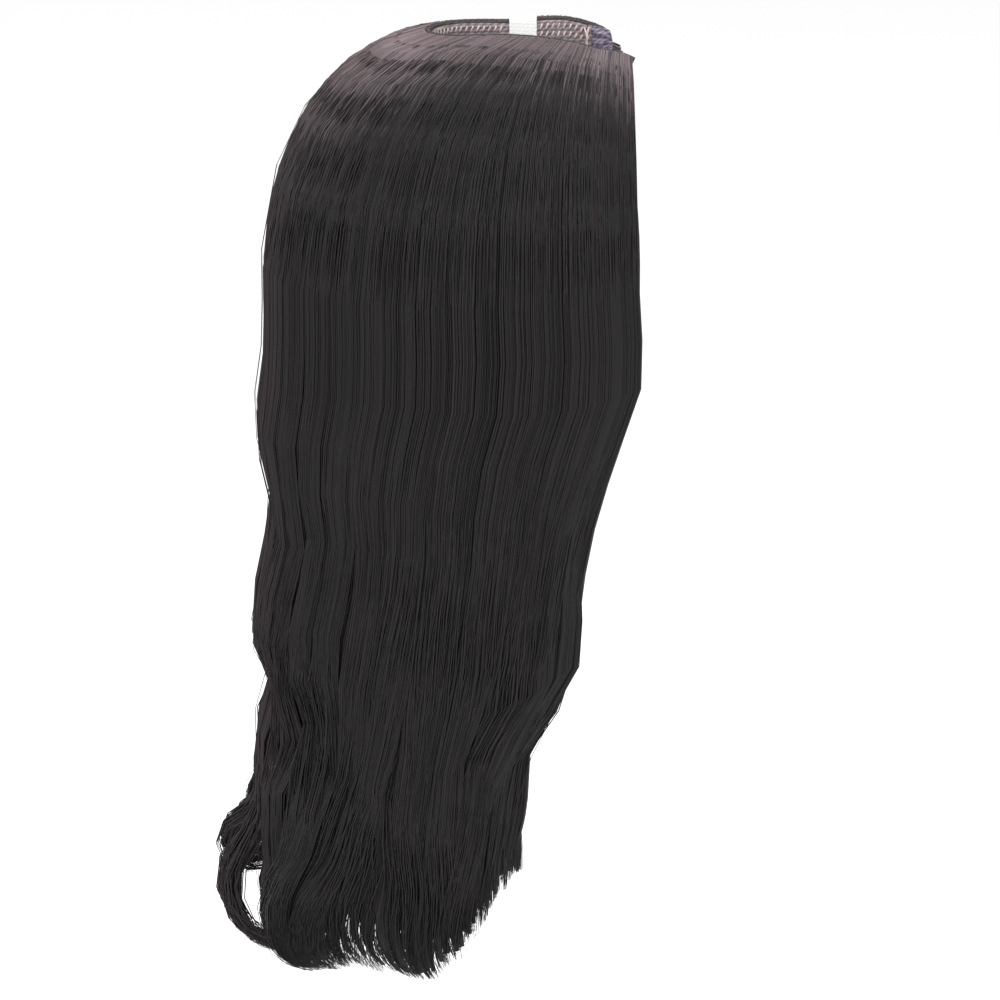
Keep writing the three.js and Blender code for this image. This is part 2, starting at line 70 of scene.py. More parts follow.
def dome_height(x, y, off):
    """Height of the head form grown by off: the rise times the power mean that x and y leave of it."""
    reach = np.where(y > TOP_Y, HEAD_BACK_REACH, HEAD_FRONT_REACH) + off
    used = np.abs(x / (HEAD_HALF_WIDTH + off)) ** FULLNESS + np.abs((y - TOP_Y) / reach) ** FULLNESS
    return WIDEST_Z + (HEAD_RISE + off) * np.clip(1 - used, 0, 1) ** (1 / FULLNESS)


print("widest level of the head at", round(WIDEST_Z, 1), "mm")

# %% [markdown]
# The hair grows from the rim of a U-shaped opening and runs down over the cap. A place round the cap is h,
# from -1 at the right front edge through 0 at the middle of the back to 1 at the left front edge. A place on
# the way down is u: 0 on the rim, 1 on the widest level of the head, 2 at the hem. One function of h and u
# then carries the net, the bands and every strand.

# %% Places on the cap
OPENING_HALF_WIDTH = 15.0
OPENING_FRONT_Y = -104.0
OPENING_BACK_Y = -14.0
BINDING_WIDTH = 2.4
SEWN_GAP = 0.3
LEFT_RISE = (5.3, 48, 84)
LEFT_FALL = (7.3, 93, 100)
RIGHT_RISE = (2.4, 86, 102)
CAP_FRONT_Y = -96.5
CAP_WALL = 1.5
EAR_DROP = 20.0
NAPE_DROP = 66.0
RIM_HALF_WIDTH = OPENING_HALF_WIDTH + BINDING_WIDTH + SEWN_GAP
RIM_RUN = OPENING_BACK_Y - OPENING_HALF_WIDTH - OPENING_FRONT_Y + RIM_HALF_WIDTH * np.pi / 2


def rim_plan(h, half_width):
    """Plan of the U: straight from the front for a share of its length, then a quarter turn to the middle."""
    bend_y = OPENING_BACK_Y - OPENING_HALF_WIDTH
    straight = bend_y - OPENING_FRONT_Y
    run = (1 - np.abs(h)) * RIM_RUN
    angle = np.clip((run - straight) / RIM_HALF_WIDTH, 0, np.pi / 2)
    x = np.sign(h + 1e-12) * half_width * np.cos(angle)
    y = np.where(run <= straight, OPENING_FRONT_Y + run, bend_y + half_width * np.sin(angle))
    return x, y


def rim_rise(h):
    """How much further the rim stands up towards a front corner, more on the left, before it drops again."""
    _, y = rim_plan(h, RIM_HALF_WIDTH)
    steps = (LEFT_RISE, LEFT_FALL, RIGHT_RISE)
    left, fall, right = (size * smooth(-y, low, high) for size, low, high in steps)
    return np.where(h < 0, right, left - fall)


def widest_plan(h, off):
    """Plan of the widest level: a superellipse, its angle running with h over the front and then the back."""
    power = 2 / FULLNESS
    front_angle = np.arcsin(((TOP_Y - CAP_FRONT_Y) / HEAD_FRONT_REACH) ** (1 / power))
    front_share = (TOP_Y - CAP_FRONT_Y) / (TOP_Y - CAP_FRONT_Y + BACK_CURVE * HEAD_BACK_REACH)
    near = 1 - np.abs(h)
    ahead = front_angle * np.clip(1 - near / front_share, 0, 1)
    behind = np.pi / 2 * np.clip((near - front_share) / (1 - front_share), 0, 1)
    angle = np.where(near < front_share, ahead, behind)
    x = np.sign(h + 1e-12) * (HEAD_HALF_WIDTH + off) * np.clip(np.cos(angle), 0, 1) ** power
    front_y = TOP_Y - (HEAD_FRONT_REACH + off) * np.sin(ahead) ** power
    back_y = TOP_Y + (HEAD_BACK_REACH + off) * np.sin(behind) ** power
    return x, np.where(near < front_share, front_y, back_y)


def cap_point(h, u, off):
    """Over the dome, the plan goes from rim to widest level by the sine of u; below, the form draws in."""
    h, u, off = np.broadcast_arrays(np.asarray(h, float), u, off)
    rim_x, rim_y = rim_plan(h, RIM_HALF_WIDTH)
    wide_x, wide_y = widest_plan(h, off)
    out = np.sin(np.clip(u, 0, 1) * np.pi / 2)
    x = rim_x + (wide_x - rim_x) * out
    y = rim_y + (wide_y - rim_y) * out
    depth = np.clip(u - 1, 0, None) * HEAD_RISE
    narrow = np.sqrt(np.clip(1 - (depth / NECK_REACH) ** 2, 0.05, 1))
    z = np.where(u <= 1, dome_height(x, y, off), WIDEST_Z - depth)
    return np.stack([x * narrow, TOP_Y + (y - TOP_Y) * narrow, z], axis=-1)


def cap_end(h):
    """The u of the cap's lower edge, which runs down from the ears to the nape."""
    return 1 + (EAR_DROP + (NAPE_DROP - EAR_DROP) * smooth(1 - np.abs(h), 0.3, 0.85)) / HEAD_RISE


print("rim of the opening:", 2 * OPENING_HALF_WIDTH, "mm wide inside its binding")

# %% [markdown]
# Below the head the hair hangs, and the photograph's outline says how: the back swells three times on the way
# down, the front edges lean back as they fall, and the whole mass thins towards its ends. A short table holds
# that, level by level, as shares of the hair's own size.

# %% The fall of the hair
HAIR_DROP = 340.0
HAIR_INSIDE = CAP_WALL + 0.5
ROOT_THICKNESS = 2.0
THICKEN_POWER = 1.5
ROOT_RUN = 0.3
SIDE_THICKNESS = 14.0
BACK_THICKNESS = 17.0
FRONT_EDGE_SHARE = 0.4
LOCKS = 12
LEVELS = {
    "drop": [0.0, 0.12, 0.24, 0.36, 0.46, 0.56, 0.635, 0.71, 0.8, 0.9, 1.0],
    "front": [0.0, -0.016, 0.069, 0.142, 0.157, 0.178, 0.308, 0.313, 0.326, 0.465, 0.64],
    "back": [0.0, 0.003, 0.038, -0.01, 0.04, 0.068, -0.014, 0.072, 0.06, 0.055, 0.04],
    "width": [1.0, 1.0, 1.01, 1.02, 1.02, 1.03, 1.03, 1.03, 1.02, 1.0, 0.96],
    "thick": [1.0, 0.91, 0.83, 0.76, 0.71, 0.66, 0.63, 0.59, 0.54, 0.47, 0.38],
}


def level(column, drop):
    """Value of a column at a share of the drop: the mean of three readings, which rounds the corners."""
    readings = [np.interp(drop + step, LEVELS["drop"], LEVELS[column]) for step in (-0.015, 0, 0.015)]
    return sum(readings) / 3


def full_thickness(h):
    """Thickness of the hair on the widest level: thin at the front edges, thickest at the back."""
    near = 1 - np.abs(h)
    edge = FRONT_EDGE_SHARE + (1 - FRONT_EDGE_SHARE) * smooth(near, 0, 0.16)
    return edge * (SIDE_THICKNESS + (BACK_THICKNESS - SIDE_THICKNESS) * smooth(near, 0.4, 0.95))


HAIR_FRONT_Y = float(widest_plan(1.0, HAIR_INSIDE + full_thickness(1.0))[1])
HAIR_BACK_Y = float(widest_plan(0.0, HAIR_INSIDE + full_thickness(0.0))[1])


def hair_point(h, u, w):
    """Point in the hair at depth w, 0 underneath and 1 outside: on the cap above u = 1, hanging below it."""
    h, u, w = np.broadcast_arrays(np.asarray(h, float), u, w)
    full = full_thickness(h)
    over = np.clip(u, 0, 1)
    grown = ROOT_THICKNESS + (full - ROOT_THICKNESS) * over**THICKEN_POWER
    risen = np.clip(rim_rise(h), 0, None) * smooth(ROOT_RUN - over, 0, ROOT_RUN)
    on_cap = cap_point(h, over, HAIR_INSIDE + w * (grown + risen))
    drop = np.clip(u - 1, 0, None)
    outer_x, outer_y = widest_plan(h, HAIR_INSIDE + full)
    inner_x, inner_y = widest_plan(h, HAIR_INSIDE)
    rear = (outer_y - HAIR_FRONT_Y) / (HAIR_BACK_Y - HAIR_FRONT_Y)
    lean = level("front", drop) * (1 - rear) + level("back", drop) * rear
    inward = level("thick", drop) * (1 - w)
    x = outer_x * level("width", drop) + (inner_x - outer_x) * inward
    y = outer_y + (HAIR_BACK_Y - HAIR_FRONT_Y) * lean + (inner_y - outer_y) * inward
    hanging = np.stack([x, y, WIDEST_Z - drop * HAIR_DROP], axis=-1)
    return np.where((u <= 1)[..., None], on_cap, hanging)


print("hair on the widest level runs from y", round(HAIR_FRONT_Y), "to", round(HAIR_BACK_Y), "mm")

# %% [markdown]
# At its end each lock swings out and then turns under. Two arcs draw that: one of the angle bow, then one of
# bow plus turn the other way. The locks at the front hardly turn and those at the back curl right under. As
# in the photograph, the last on the right makes a long open loop, and the first three on the left curl tight.
# The numbers run from a front edge to the back, and those of the three from the middle on.

# %% The turned ends
TIPS = {
    "hem": [0.795, 0.815, 0.84, 0.876, 0.85, 0.808, 0.81, 0.808, 0.822, 0.876, 0.9, 0.832],
    "bow": [4, 6, 10, 12, 16, 20, 26, 34, 38, 40, 26, 47],
    "bow_radius": [60, 60, 55, 50, 45, 40, 34, 28, 20, 8, 8, 20],
    "turn": [14, 20, 26, 34, 44, 56, 66, 76, 96, 100, 96, 125],
    "turn_radius": [60, 55, 50, 45, 42, 40, 36, 34, 32, 25, 23, 36],
}
LEFT_BACK = {
    "hem": [0.834, 0.845, 0.865],
    "bow": [66, 62, 40],
    "bow_radius": [16, 15, 14],
    "turn": [116, 112, 100],
    "turn_radius": [14, 15, 17],
}
TAIL_OVERLAP = 26.0
TAIL_STRAIGHT = 0.6 * TAIL_OVERLAP


def tip(column, h):
    """Value of a column of the tips at h, between the middles of the locks on either side."""
    all_round = TIPS[column] + LEFT_BACK[column] + TIPS[column][8::-1]
    return np.interp((h + 1) * LOCKS - 0.5, np.arange(2 * LOCKS), all_round)


def tail_offsets(share, bow, bow_radius, turn, turn_radius):
    """How far out and down a tail is at a share of its length: straight, then along the two arcs."""
    first = bow_radius * bow
    second = turn_radius * (bow + turn)
    way = share * (TAIL_STRAIGHT + first + second)
    a = np.clip(way - TAIL_STRAIGHT, 0, first) / bow_radius
    b = bow - np.clip(way - TAIL_STRAIGHT - first, 0, second) / turn_radius
    out = bow_radius * (1 - np.cos(a)) + turn_radius * (np.cos(b) - np.cos(bow))
    down = np.minimum(way, TAIL_STRAIGHT) + bow_radius * np.sin(a) + turn_radius * (np.sin(bow) - np.sin(b))
    return out, down


def unit(v):
    """Each vector divided by its own length."""
    return v / np.linalg.norm(v, axis=-1, keepdims=True)


print("tails at the back turn under by", max(TIPS["turn"]), "degrees at most")

# %% [markdown]
# Two mesh makers serve the whole wig. A wall is two grids of points joined round their edge, for net, ribbon
# and the body of the hair. A bundle of tubes carries one small section along many paths at once, for threads
# and strands: thousands of them are one array and one mesh, which is far quicker than thousands of objects.

# %% Mesh makers


def add_mesh(name, points, faces, replaced=()):
    """Puts points in millimetres and faces into a new object that rides on the wig."""
    mesh = bpy.data.meshes.new(name)
    mesh.vertices.add(len(points))
    mesh.vertices.foreach_set("co", (points * MM).astype(np.float32).ravel())
    corners = faces.shape[1]
    mesh.loops.add(faces.size)
    mesh.loops.foreach_set("vertex_index", faces.astype(np.int32).ravel())
    mesh.polygons.add(len(faces))
    mesh.polygons.foreach_set("loop_start", np.arange(0, faces.size, corners, dtype=np.int32))
    mesh.polygons.foreach_set("loop_total", np.full(len(faces), corners, dtype=np.int32))
    mesh.polygons.foreach_set("use_smooth", np.ones(len(faces), dtype=bool))
    mesh.update(calc_edges=True)
    mesh.validate()
    piece = bpy.data.objects.new(name, mesh)
    bpy.context.scene.collection.objects.link(piece)
    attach(piece, "root")
    if replaced:
        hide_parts(*replaced)
    return piece


def set_value(piece, name, values):
    """Stores one number for each point of a piece, for its material to read."""
    attribute = piece.data.attributes.new(name, "FLOAT", "POINT")
    attribute.data.foreach_set("value", np.asarray(values, np.float32).ravel())


def set_map(piece, name, places):
    """Stores the place in a flat map of each point, repeated for the corners that use it."""
    corners = np.empty(len(piece.data.loops), dtype=np.int32)
    piece.data.loops.foreach_get("vertex_index", corners)
    layer = piece.data.uv_layers.new(name=name)
    layer.data.foreach_set("uv", places[corners].astype(np.float32).ravel())


def wall_faces(rows, columns):
    """Faces of a closed wall: the outer grid, the inner grid turned over, and the four strips between."""
    at = np.arange(rows * columns).reshape(rows, columns)
    under = at + rows * columns

    def quads(a, b, c, d):
        return np.stack([a.ravel(), b.ravel(), c.ravel(), d.ravel()], axis=1)

    outer = quads(at[:-1, :-1], at[:-1, 1:], at[1:, 1:], at[1:, :-1])
    inner = quads(under[:-1, :-1], under[1:, :-1], under[1:, 1:], under[:-1, 1:])
    first = quads(at[0, :-1], under[0, :-1], under[0, 1:], at[0, 1:])
    last = quads(at[-1, 1:], under[-1, 1:], under[-1, :-1], at[-1, :-1])
    left = quads(at[1:, 0], under[1:, 0], under[:-1, 0], at[:-1, 0])
    right = quads(at[:-1, -1], under[:-1, -1], under[1:, -1], at[1:, -1])
    return np.concatenate([outer, inner, first, last, left, right])


def outward(points, faces):
    """Turns the faces over if the volume that they enclose comes out negative."""
    a, b, c = (points[faces[:, k]] for k in (0, 1, 2))
    volume = np.einsum("ij,ij->i", a, np.cross(b, c)).sum()
    if faces.shape[1] == 4:
        volume += np.einsum("ij,ij->i", a, np.cross(c, points[faces[:, 3]])).sum()
    return faces if volume > 0 else faces[:, ::-1]


def wall(name, outer, inner, replaced=(), flow=None):
    """A closed wall between two grids of points. Flow gives each point its place on a flat map."""
    rows, columns = outer.shape[:2]
    points = np.concatenate([outer.reshape(-1, 3), inner.reshape(-1, 3)])
    piece = add_mesh(name, points, outward(points, wall_faces(rows, columns)), replaced)
    if flow is not None:
        set_map(piece, "flow", np.tile(flow.reshape(-1, 2), (2, 1)))
    return piece


def tube_points(paths, sideways, radius, sides, flat):
    """Rings of points round many paths: radius along sideways, and flat times radius square to it."""
    along = unit(np.gradient(paths, axis=1))
    sideways = unit(sideways - (sideways * along).sum(-1, keepdims=True) * along)
    square = np.cross(along, sideways)
    angle = (2 * np.pi * np.arange(sides) / sides)[:, None]
    radius, flat = (np.broadcast_to(size, paths.shape[:2])[..., None, None] for size in (radius, flat))
    ring = np.cos(angle) * sideways[..., None, :] + flat * np.sin(angle) * square[..., None, :]
    return paths[..., None, :] + radius * ring


def tube_faces(count, stations, sides):
    """Faces of that many tubes: the sides as triangles, and a fan over each end."""
    at = np.arange(stations * sides).reshape(stations, sides)
    a, b = at[:-1], np.roll(at[:-1], -1, axis=1)
    c, d = np.roll(at[1:], -1, axis=1), at[1:]
    side = np.concatenate([np.stack([a, b, c], -1).reshape(-1, 3), np.stack([a, c, d], -1).reshape(-1, 3)])
    fan = np.arange(1, sides - 1)
    near = np.stack([np.zeros_like(fan), fan + 1, fan], -1)
    far = np.stack([np.zeros_like(fan), fan, fan + 1], -1) + (stations - 1) * sides
    one = np.concatenate([side, near, far])
    return (one[None] + np.arange(count)[:, None, None] * stations * sides).reshape(-1, 3)


def tube_map(count, stations, sides):
    """A flat map that gives each tube a cell of its own, its length up the cell and its sides across."""
    across = int(np.ceil(np.sqrt(count)))
    cell = np.arange(count)
    corner = np.stack([cell % across, cell // across], -1)[:, None, None, :]
    step = np.broadcast_to(np.arange(sides) / sides, (stations, sides))
    rise = np.broadcast_to(np.linspace(0, 1, stations)[:, None], (stations, sides))
    inside = 0.08 + 0.84 * np.stack([step, rise], -1)
    return ((corner + inside[None]) / across).reshape(-1, 2)


def tubes(name, paths, sideways, radius, sides=3, flat=1.0, replaced=()):
    """Many closed tubes as one piece."""
    count, stations = paths.shape[:2]
    points = tube_points(paths, sideways, radius, sides, flat).reshape(-1, 3)
    return add_mesh(name, points, outward(points, tube_faces(count, stations, sides)), replaced)


def per_tube(values, stations, sides):
    """One value for each tube, repeated for every point of its rings."""
    return np.broadcast_to(np.asarray(values)[:, None, None], (len(values), stations, sides))


print("one strand of 25 rings and 3 sides has", len(tube_faces(1, 25, 3)), "triangles")

# %% [markdown]
# Hair isn't one colour. Near black hair shows brown where the light comes through it and a cool grey where it
# shines, and each strand differs a little. So a strand carries its own tone as a number, raised towards the
# middle of the back as a painted sheen along the back edge. It carries as another number how much painted
# sheen it takes near its root, where the top light catches the crown, and one material reads them both. The
# body under the strands has no strands of its own to differ, so its tone comes from a noise stretched along
# the flow of the hair. It takes the painted sheen near the rim as well.

# %% Finishes
# Lilac-grey painted sheen for the roots near the opening, where the top light catches the crown.
CROWN_SHEEN_COLOUR = (0.3, 0.235, 0.25, 1)
DARK_HAIR = (0.0152, 0.0148, 0.0151, 1)
BROWN_HAIR = (0.022, 0.0194, 0.02, 1)
GREY_HAIR = (0.042, 0.033, 0.0345, 1)


def new_finish(name):
    """An empty node material with its shader, and a helper that adds a linked node."""
    material = bpy.data.materials.new(name)
    material.use_nodes = True
    nodes, links = material.node_tree.nodes, material.node_tree.links
    shader = nodes["Principled BSDF"]

    def add(kind, inputs=None, **settings):
        node = nodes.new(kind)
        for key, value in settings.items():
            setattr(node, key, value)
        for key, value in (inputs or {}).items():
            if isinstance(value, bpy.types.NodeSocket):
                links.new(value, node.inputs[key])
            else:
                node.inputs[key].default_value = value
        return node

    return material, shader, add, links


def ramp(add, factor, *stops):
    """A colour ramp through the given places and colours."""
    node = add("ShaderNodeValToRGB", {"Fac": factor})
    elements = node.color_ramp.elements
    for place, colour in stops[2:]:
        elements.new(place)
    for element, (place, colour) in zip(elements, stops):
        element.position = place
        element.color = colour
    return node.outputs["Color"]


def mix_colours(add, factor, first, second):
    """First where the factor is 0 and second where it is 1."""
    node = add("ShaderNodeMix", data_type="RGBA")
    sockets = {socket.identifier: socket for socket in node.inputs}
    tree = node.id_data
    for key, value in {"Factor_Float": factor, "A_Color": first, "B_Color": second}.items():
        if isinstance(value, bpy.types.NodeSocket):
            tree.links.new(value, sockets[key])
        else:
            sockets[key].default_value = value
    return next(socket for socket in node.outputs if socket.identifier == "Result_Color")


def hair_finish(name, strands):
    """Near-black hair. Strands read their own tone; the body reads a noise stretched along its flow."""
    material, shader, add, links = new_finish(name)
    root = add("ShaderNodeAttribute", attribute_name="root").outputs["Fac"]
    if strands:
        tone = add("ShaderNodeAttribute", attribute_name="tone").outputs["Fac"]
    else:
        flow = add("ShaderNodeUVMap", uv_map="flow").outputs["UV"]
        stretched = add("ShaderNodeMapping", {"Vector": flow, "Scale": (190, 1.3, 1)}).outputs["Vector"]
        noise = {"Vector": stretched, "Scale": 1.0, "Detail": 3.0, "Roughness": 0.6}
        tone = add("ShaderNodeTexNoise", noise).outputs["Fac"]
        bump = add("ShaderNodeBump", {"Height": tone, "Strength": 0.7, "Distance": 0.0008})
        links.new(bump.outputs["Normal"], shader.inputs["Normal"])
    first = 0.25 if strands else 0.32
    body = ramp(add, tone, (first, DARK_HAIR), (first + 0.35, BROWN_HAIR), (first + 0.7, GREY_HAIR))
    # The root value mixes in the painted sheen near the opening, where the top light catches the crown.
    links.new(mix_colours(add, root, body, CROWN_SHEEN_COLOUR), shader.inputs["Base Color"])
    shader.inputs["Roughness"].default_value = 0.5
    shader.inputs["Specular IOR Level"].default_value = 0.12
    return material


def cloth_finish(name, low, high, threads, rough, sheen=0.0):
    """Cloth of crossed threads: two waves on the object's own place, that many to the millimetre."""
    material, shader, add, links = new_finish(name)
    place = add("ShaderNodeTexCoord").outputs["Object"]
    waves = []
    for direction in ("DIAGONAL", "Z"):
        wave = {"Vector": place, "Scale": threads * 1000 / 6.3, "Distortion": 0.6, "Detail": 1.0}
        waves.append(add("ShaderNodeTexWave", wave, bands_direction=direction).outputs["Fac"])
    weave = add("ShaderNodeMath", {0: waves[0], 1: waves[1]}, operation="ADD").outputs["Value"]
    noise = {"Vector": place, "Scale": 260.0, "Detail": 3.0}
    worn = add("ShaderNodeTexNoise", noise).outputs["Fac"]
    both = add("ShaderNodeMath", {0: weave, 1: worn}, operation="MULTIPLY").outputs["Value"]
    links.new(ramp(add, both, (0.15, low), (0.95, high)), shader.inputs["Base Color"])
    bump = add("ShaderNodeBump", {"Height": weave, "Strength": 0.45, "Distance": 0.0003})
    links.new(bump.outputs["Normal"], shader.inputs["Normal"])
    shader.inputs["Roughness"].default_value = rough
    shader.inputs["Sheen Weight"].default_value = sheen
    return material


def thread_finish(name, low, high, rough=0.6):
    """Spun thread: a noise of fibres, darker and lighter by turns."""
    material, shader, add, links = new_finish(name)
    place = add("ShaderNodeTexCoord").outputs["Object"]
    noise = {"Vector": place, "Scale": 900.0, "Detail": 2.0}
    fibre = add("ShaderNodeTexNoise", noise).outputs["Fac"]
    links.new(ramp(add, fibre, (0.3, low), (0.7, high)), shader.inputs["Base Color"])
    bump = add("ShaderNodeBump", {"Height": fibre, "Strength": 0.4, "Distance": 0.0002})
    links.new(bump.outputs["Normal"], shader.inputs["Normal"])
    shader.inputs["Roughness"].default_value = rough
    return material


strand_hair = hair_finish("strand_hair", True)
body_hair = hair_finish("body_hair", False)
net_thread = thread_finish("net_thread", (0.10, 0.08, 0.09, 1), (0.2, 0.17, 0.19, 1))
rim_cloth = cloth_finish("rim_cloth", (0.1, 0.083, 0.092, 1), (0.29, 0.245, 0.26, 1), 1.1, 0.85, 0.2)
dark_ribbon = cloth_finish("dark_ribbon", (0.008, 0.006, 0.006, 1), (0.035, 0.024, 0.025, 1), 1.6, 0.6)
dark_elastic = cloth_finish("dark_elastic", (0.008, 0.007, 0.007, 1), (0.03, 0.026, 0.027, 1), 1.2, 0.8)
tan_thread = thread_finish("tan_thread", (0.36, 0.28, 0.25, 1), (0.62, 0.51, 0.46, 1))
weft_tape = cloth_finish("weft_tape", (0.07, 0.055, 0.06, 1), (0.17, 0.14, 0.15, 1), 1.4, 0.75)
lilac = ((0.06, 0.048, 0.075, 1), (0.23, 0.19, 0.27, 1))
gathered_cloth = cloth_finish("gathered_cloth", *lilac, 1.3, 0.85, 0.2)
white_satin = cloth_finish("white_satin", (0.78, 0.77, 0.76, 1), (0.9, 0.9, 0.89, 1), 3.0, 0.4, 0.1)
print("finishes:", len(bpy.data.materials))

# %% [markdown]
# The body of the hair is what stops the eye: a closed wall in three panels, as the real wig is sewn in
# lengths of weft, with six shallow ridges in every lock. It lies a little inside the outline, because the
# strands on it bring it back to full size. Strands alone would let the light through.

# %% The body of the hair
BODY_OUTSIDE = 0.78
BODY_AT_ROOT = 0.6
BODY_INSIDE = 0.1
BODY_SHORTER = 0.02
BACK_SHORTER = 0.06
RIDGES_A_LOCK = 6
RIDGE_DEPTH = 0.02


def body_panel(name, first, last, replaced):
    """Wall from rim to hem between two places. Its outer face is at the depth rise, less a share between the
    ridges, where a sine is near zero, and less what draws it in towards the ends."""
    columns = int(round((last - first) * LOCKS)) * 12 + 1
    h = np.linspace(first, last, columns)[None, :]
    step = np.concatenate([np.linspace(0, 1, 15), 1 + np.linspace(0, 1, 24)[1:]])[:, None]
    hem = tip("hem", h) - BODY_SHORTER - BACK_SHORTER * smooth(1 - np.abs(h), 0.55, 0.75)
    u = np.where(step <= 1, step, 1 + (step - 1) * hem)
    ridge = np.abs(np.sin(np.pi * RIDGES_A_LOCK * LOCKS * (1 - np.abs(h)))) * smooth(u, 0.1, 0.7)
    end = smooth(u - 1, hem - 0.2, hem)
    rise = BODY_AT_ROOT + (BODY_OUTSIDE - BODY_AT_ROOT) * smooth(u, 0.02, 0.3)
    drawn_in = 0.14 * smooth(u, 1.3, 1.6) + 0.08 * end
    outer = hair_point(h, u, rise - RIDGE_DEPTH * (1 - ridge) - drawn_in)
    inner = hair_point(h, u, BODY_INSIDE + 0.2 * end)
    flow = np.stack(np.broadcast_arrays(h * 1.7, u), axis=-1)
    panel = wall(name, outer, inner, replaced, flow)
    # The root value is painted sheen: lighter near the rim, in patches, where the top light catches the
    # crown.
    patch = 0.5 + 0.5 * np.sin(h * 61) * np.sin(h * 143 + 1)
    root = 0.5 * np.clip(1 - u / (0.12 + 0.2 * patch), 0, 1)
    set_value(panel, "root", np.concatenate([root.ravel(), root.ravel()]))
    panel.data.materials.append(body_hair)


SEAM = 5 / 12
body_panel("hair_body_right", -1.0, -SEAM, ["hair_side_right"])
body_panel("hair_body_back", -SEAM, SEAM, ["hair_back"])
body_panel("hair_body_left", SEAM, 1.0, ["hair_side_left"])
print("hair body in 3 panels")

# %% [markdown]
# Hair never hangs as a smooth sheet. Strands gather in clumps, the clumps in locks, and all of them drift
# together into a few soft waves before they turn under. So every strand and lock is worked out by one
# function: where it starts round the cap, how deep it lies, how strongly it is drawn to its clump and its
# lock, how far it waves, and how much of its turned end it has.

# %% The way a strand falls
SIDE_SWING = 0.35
CLUMPS = 110
DOME_STEPS = 6
HANG_STEPS = 11
TAIL_STEPS = 8
STATIONS = DOME_STEPS + HANG_STEPS + TAIL_STEPS
WAVE_LENGTH = 118.0
MIDDLE_DEPTH = 0.45
SMALL_STEP = 0.004
lock_phase = chance.uniform(0, 2 * np.pi, (2, 2 * LOCKS + 1))
clump_places = np.sort(chance.uniform(0, 1, CLUMPS))


def middle_of(h, places):
    """The place nearest to h, where places run from a front edge to the back on either side."""
    edges = (places[1:] + places[:-1]) / 2
    return np.where(h < 0, -1.0, 1.0) * (1 - places[np.searchsorted(edges, 1 - np.abs(h))])


def falls(h, depth, start, tail, clump, lock, wave, curl):
    """Paths, sideways directions and lengths walked: over the dome from u = start, down the hanging hair, and
    the share tail of the way round two arcs, curl times their own angle. Clump and lock draw h towards the
    middle of its clump and of its lock, and wave is the height of a sine across the flow and another out."""
    middle = middle_of(h, (np.arange(LOCKS) + 0.5) / LOCKS)
    small = middle_of(h, clump_places)
    rear = smooth(1 - np.abs(middle), 0.5, 0.8)
    own = middle + (h - middle) * (1 - 0.9 * rear)
    end = 1 + tip("hem", own) - TAIL_OVERLAP / HAIR_DROP
    dome = start[:, None] + (1 - start[:, None]) * np.linspace(0, 1, DOME_STEPS)
    hang = 1 + (end[:, None] - 1) * np.linspace(0, 1, HANG_STEPS + 1)[1:]
    u = np.concatenate([dome, hang], axis=1)
    share = u / end[:, None]
    to_clump = (clump * (small - h))[:, None] * smooth(share, 0.05, 0.7)
    to_lock = (lock * (0.15 + 0.8 * rear) * (middle - small))[:, None] * smooth(share, 0.5, 1)
    at = h[:, None] + to_clump + to_lock
    w = depth[:, None] + (MIDDLE_DEPTH - depth)[:, None] * 0.3 * smooth(share, 0.8, 1)
    hung = hair_point(at, u, w)
    across = unit(hair_point(at + SMALL_STEP, u, w) - hair_point(at - SMALL_STEP, u, w))
    run = unit(hung[:, -1] - hair_point(at[:, -1:], u[:, -1:] - 0.05, w[:, -1:])[:, 0])
    near = 1 - np.abs(own)
    rearward = SIDE_SWING + (1 - SIDE_SWING) * near
    out = np.stack([np.sign(middle) * (1 - near), rearward, 0 * near], axis=-1)
    out = unit(out - (out * run).sum(-1, keepdims=True) * run)
    way = np.linspace(0, 1, TAIL_STEPS + 1)[None, 1:] * tail[:, None]
    bow = np.radians(tip("bow", own) * curl)[:, None]
    turn = np.radians(tip("turn", own) * curl)[:, None]
    radii = [(tip(column, own) / curl**0.5)[:, None] for column in ("bow_radius", "turn_radius")]
    aside, down = tail_offsets(way, bow, radii[0], turn, radii[1])
    turned = hung[:, -1:] + out[:, None] * aside[..., None] + run[:, None] * down[..., None]
    centre = hair_point(middle, end, MIDDLE_DEPTH)
    drawn = (0.05 + 0.28 * rear)[:, None] * way**1.5
    turned = turned + (centre - hung[:, -1])[:, None] * drawn[..., None]
    paths = np.concatenate([hung, turned], axis=1)
    across = np.concatenate([across, np.repeat(across[:, -1:], TAIL_STEPS, axis=1)], axis=1)
    lengths = np.linalg.norm(np.diff(paths, axis=1), axis=-1)
    walked = np.concatenate([np.zeros((len(h), 1)), np.cumsum(lengths, axis=1)], axis=1)
    grown = wave[:, None] * smooth(walked / walked[:, -1:], 0.35, 0.85)
    which = np.round((middle + 1) * LOCKS).astype(int)
    turns = 2 * np.pi * walked / WAVE_LENGTH
    sway = grown * np.sin(turns + lock_phase[0, which][:, None])
    swell = 0.6 * grown * np.sin(turns * 0.83 + lock_phase[1, which][:, None])
    outward_of = np.cross(unit(np.gradient(paths, axis=1)), across)
    return paths + sway[..., None] * across + swell[..., None] * outward_of, across, walked


print("a strand has", STATIONS, "stations")

# %% [markdown]
# Between the body and the strands lie flat locks, lens-shaped across, that grow narrow towards their ends.
# They carry the ends of the wig, where the body has stopped, and give the curls their thickness.

# %% Locks
LOCKS_A_HALF = 60
LOCK_SIDES = 8
LOCK_HALF_WIDTH = 3.8


